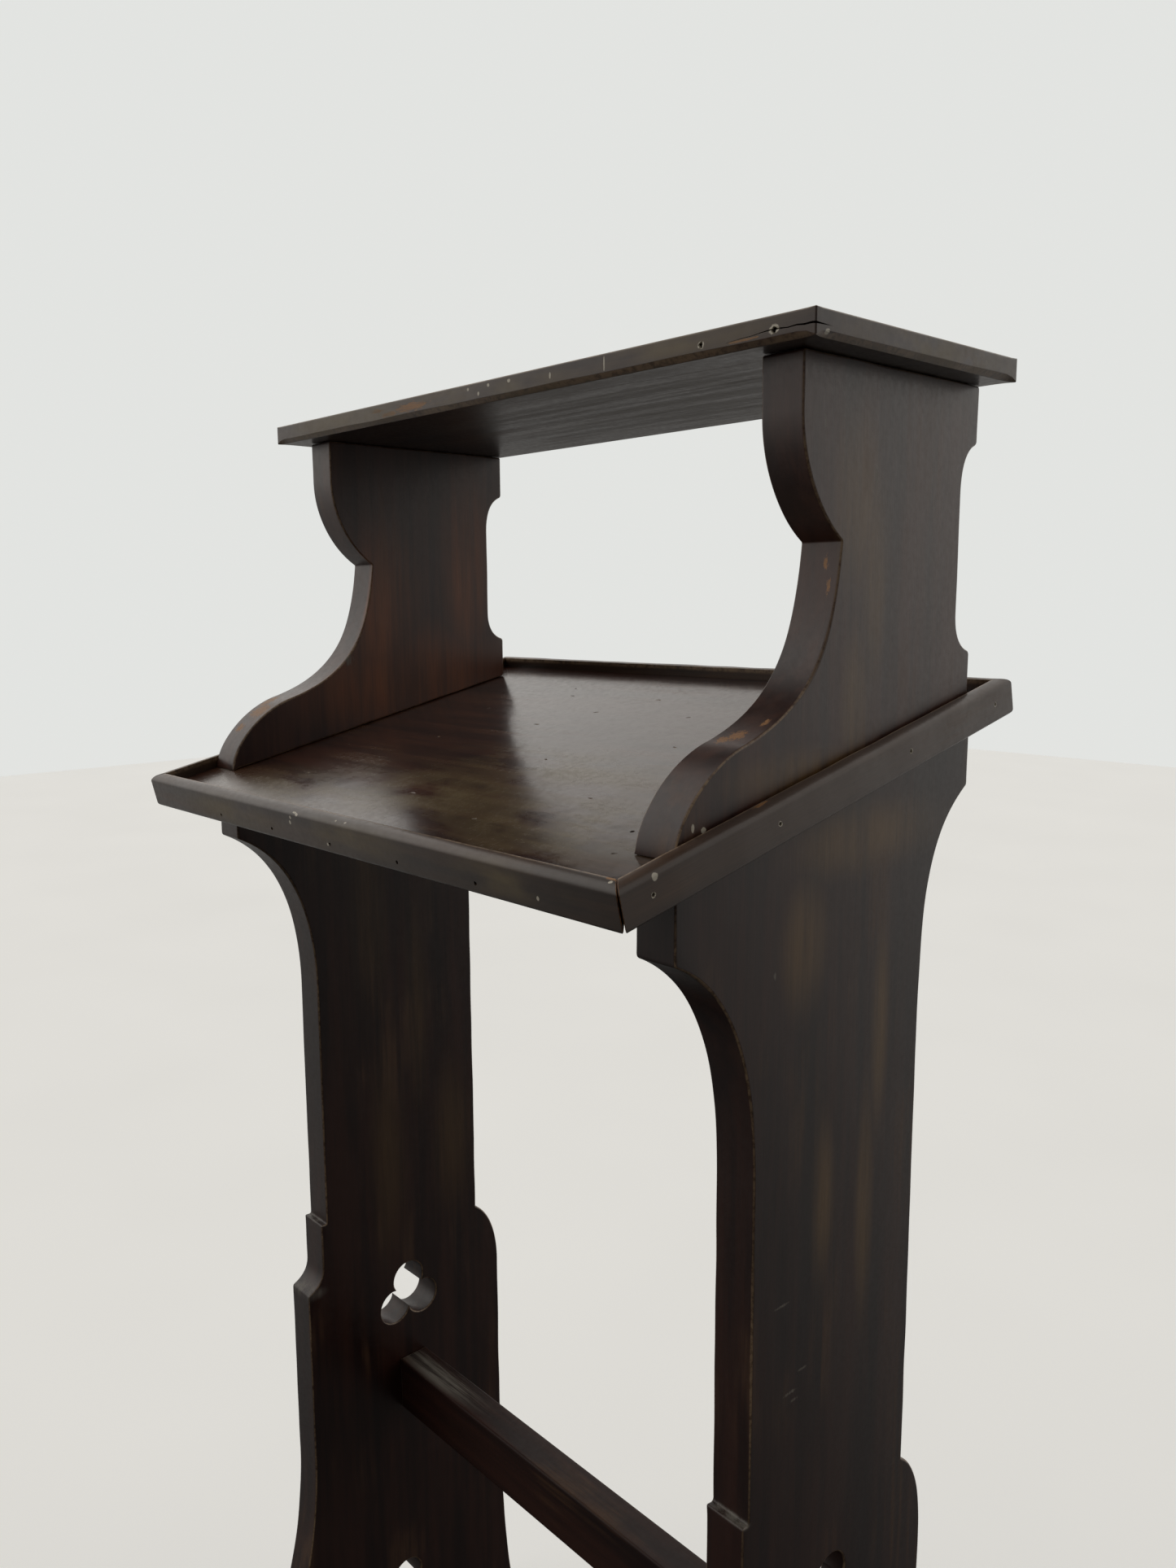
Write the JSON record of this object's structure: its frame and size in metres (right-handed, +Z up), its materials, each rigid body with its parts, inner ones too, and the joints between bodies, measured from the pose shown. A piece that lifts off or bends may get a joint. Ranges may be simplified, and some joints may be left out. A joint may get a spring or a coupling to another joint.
{
  "type": "bible stand",
  "caption": "Two-tier wooden reading stand: a level top shelf on shaped supports above a sloping lipped tray, carried by two pierced slab legs joined by a low rail.",
  "frame": {"origin": "on the floor, below the middle of the stand's outer box", "axes": "+Z up; -Y towards the reader, where the tray is lowest; +X along the shelf, to the reader's right"},
  "size_m": [0.46, 0.3055, 0.98],
  "materials": {
    "stained_wood": "dark brown-black stain, satin, worn on the arrises",
    "tray_wood": "dark brown stain, semi-gloss, scratched and worn",
    "raw_wood": "bare, unstained, matt",
    "dark_steel": "dull, darkened steel"
  },
  "bodies": {
    "root": {"top_shelf": "stained_wood", "stretcher_rail": "stained_wood", "tray_board": "tray_wood", "lip_front": "stained_wood", "lip_nail_front_1": "dark_steel", "lip_nail_front_2": "dark_steel", "lip_nail_front_3": "dark_steel", "lip_nail_front_4": "dark_steel", "lip_nail_front_5": "dark_steel", "lip_right": "stained_wood", "lip_nail_right_1": "dark_steel", "lip_nail_right_2": "dark_steel", "lip_nail_right_3": "dark_steel", "lip_nail_right_4": "dark_steel", "lip_back": "stained_wood", "lip_nail_back_1": "dark_steel", "lip_nail_back_2": "dark_steel", "lip_nail_back_3": "dark_steel", "lip_nail_back_4": "dark_steel", "lip_nail_back_5": "dark_steel", "lip_left": "stained_wood", "lip_nail_left_1": "dark_steel", "lip_nail_left_2": "dark_steel", "lip_nail_left_3": "dark_steel", "lip_nail_left_4": "dark_steel", "support_left": "stained_wood", "leg_left": "stained_wood", "cleat_left": "raw_wood", "shelf_screw_left_1": "dark_steel", "shelf_screw_left_2": "dark_steel", "tray_screw_left_1": "dark_steel", "tray_screw_left_2": "dark_steel", "tray_screw_left_3": "dark_steel", "cleat_screw_up_left_1": "dark_steel", "cleat_screw_up_left_2": "dark_steel", "cleat_screw_up_left_3": "dark_steel", "cleat_screw_across_left_1": "dark_steel", "cleat_screw_across_left_2": "dark_steel", "support_right": "stained_wood", "leg_right": "stained_wood", "cleat_right": "raw_wood", "shelf_screw_right_1": "dark_steel", "shelf_screw_right_2": "dark_steel", "tray_screw_right_1": "dark_steel", "tray_screw_right_2": "dark_steel", "tray_screw_right_3": "dark_steel", "cleat_screw_up_right_1": "dark_steel", "cleat_screw_up_right_2": "dark_steel", "cleat_screw_up_right_3": "dark_steel", "cleat_screw_across_right_1": "dark_steel", "cleat_screw_across_right_2": "dark_steel"}
  },
  "joints": []
}
